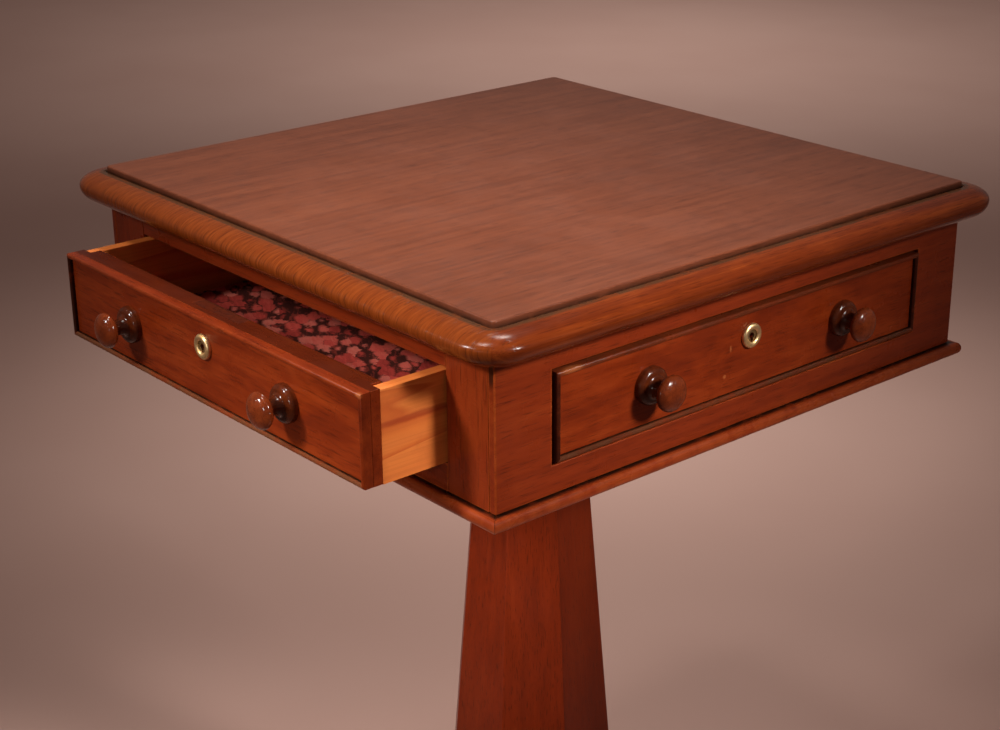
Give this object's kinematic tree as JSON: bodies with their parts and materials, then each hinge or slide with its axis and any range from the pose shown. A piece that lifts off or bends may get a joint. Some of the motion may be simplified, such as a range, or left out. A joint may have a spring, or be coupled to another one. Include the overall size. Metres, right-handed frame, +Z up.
{
  "type": "occasional table",
  "caption": "Square pedestal table with a moulded top, a sliding drawer with a lock, false drawer fronts, and a tapering octagonal column on a shaped platform.",
  "frame": {"origin": "on the floor, below the middle of the table's box with the drawer drawn out 62.5 mm as pictured; the column's axis stands 31.25 mm towards +Y", "axes": "+Z up; the drawer opens towards -Y; +X to the right of someone who faces the drawer"},
  "size_m": [0.5136, 0.576, 0.726],
  "materials": {
    "mahogany_top": "waxed satin, worn, grain along Y",
    "mahogany_frieze": "polished, redder than the top",
    "mahogany_front": "polished, edges rubbed",
    "mahogany_column": "polished",
    "mahogany_knob": "dark and glossy from handling",
    "pine": "bare, aged",
    "brass": "aged",
    "steel": "dull",
    "paper": "matt printed lining paper"
  },
  "bodies": {
    "table": {"table_top": "mahogany_top", "front_top_rail": "mahogany_frieze", "front_bottom_rail": "mahogany_frieze", "front_stile_left": "mahogany_frieze", "front_stile_right": "mahogany_frieze", "left_panel": "mahogany_frieze", "right_panel": "mahogany_frieze", "back_panel": "mahogany_frieze", "base_moulding_front": "mahogany_frieze", "base_moulding_right": "mahogany_frieze", "base_moulding_back": "mahogany_frieze", "base_moulding_left": "mahogany_frieze", "right_false_front": "mahogany_front", "right_false_bead": "mahogany_front", "right_false_knob_front": "mahogany_knob", "right_false_knob_back": "mahogany_knob", "right_false_escutcheon": "brass", "back_false_front": "mahogany_front", "back_false_bead": "mahogany_front", "back_false_knob_right": "mahogany_knob", "back_false_knob_left": "mahogany_knob", "back_false_escutcheon": "brass", "left_false_front": "mahogany_front", "left_false_bead": "mahogany_front", "left_false_knob_back": "mahogany_knob", "left_false_knob_front": "mahogany_knob", "left_false_escutcheon": "brass", "drawer_runner_left": "pine", "drawer_runner_right": "pine", "drawer_stop_left": "pine", "drawer_stop_right": "pine", "kicker_left": "pine", "kicker_right": "pine", "top_screw_front_left": "steel", "top_screw_front_right": "steel", "top_screw_back_left": "steel", "top_screw_back_right": "steel", "carcass_bottom": "pine", "column_bearer": "pine", "column": "mahogany_column", "column_collar": "mahogany_column", "platform": "mahogany_column", "foot_front_left": "mahogany_column", "foot_front_right": "mahogany_column", "foot_back_left": "mahogany_column", "foot_back_right": "mahogany_column"},
    "drawer": {"drawer_front": "mahogany_front", "drawer_bead": "mahogany_front", "drawer_knob_left": "mahogany_knob", "drawer_knob_right": "mahogany_knob", "drawer_escutcheon": "brass", "drawer_side_left": "pine", "drawer_side_right": "pine", "drawer_back": "pine", "drawer_bottom": "pine", "drawer_lining": "paper", "lock_case": "brass", "lock_screw_left": "steel", "lock_screw_right": "steel"},
    "lock_bolt": {"lock_bolt": "steel"}
  },
  "joints": [
    {"name": "drawer_slide", "type": "slide", "parent": "table", "child": "drawer", "axis": [0, -1, 0], "range_m": [-0.0625, 0.2]},
    {"name": "bolt_slide", "type": "slide", "parent": "drawer", "child": "lock_bolt", "axis": [0, 0, 1], "range_m": [0, 0.008]}
  ]
}
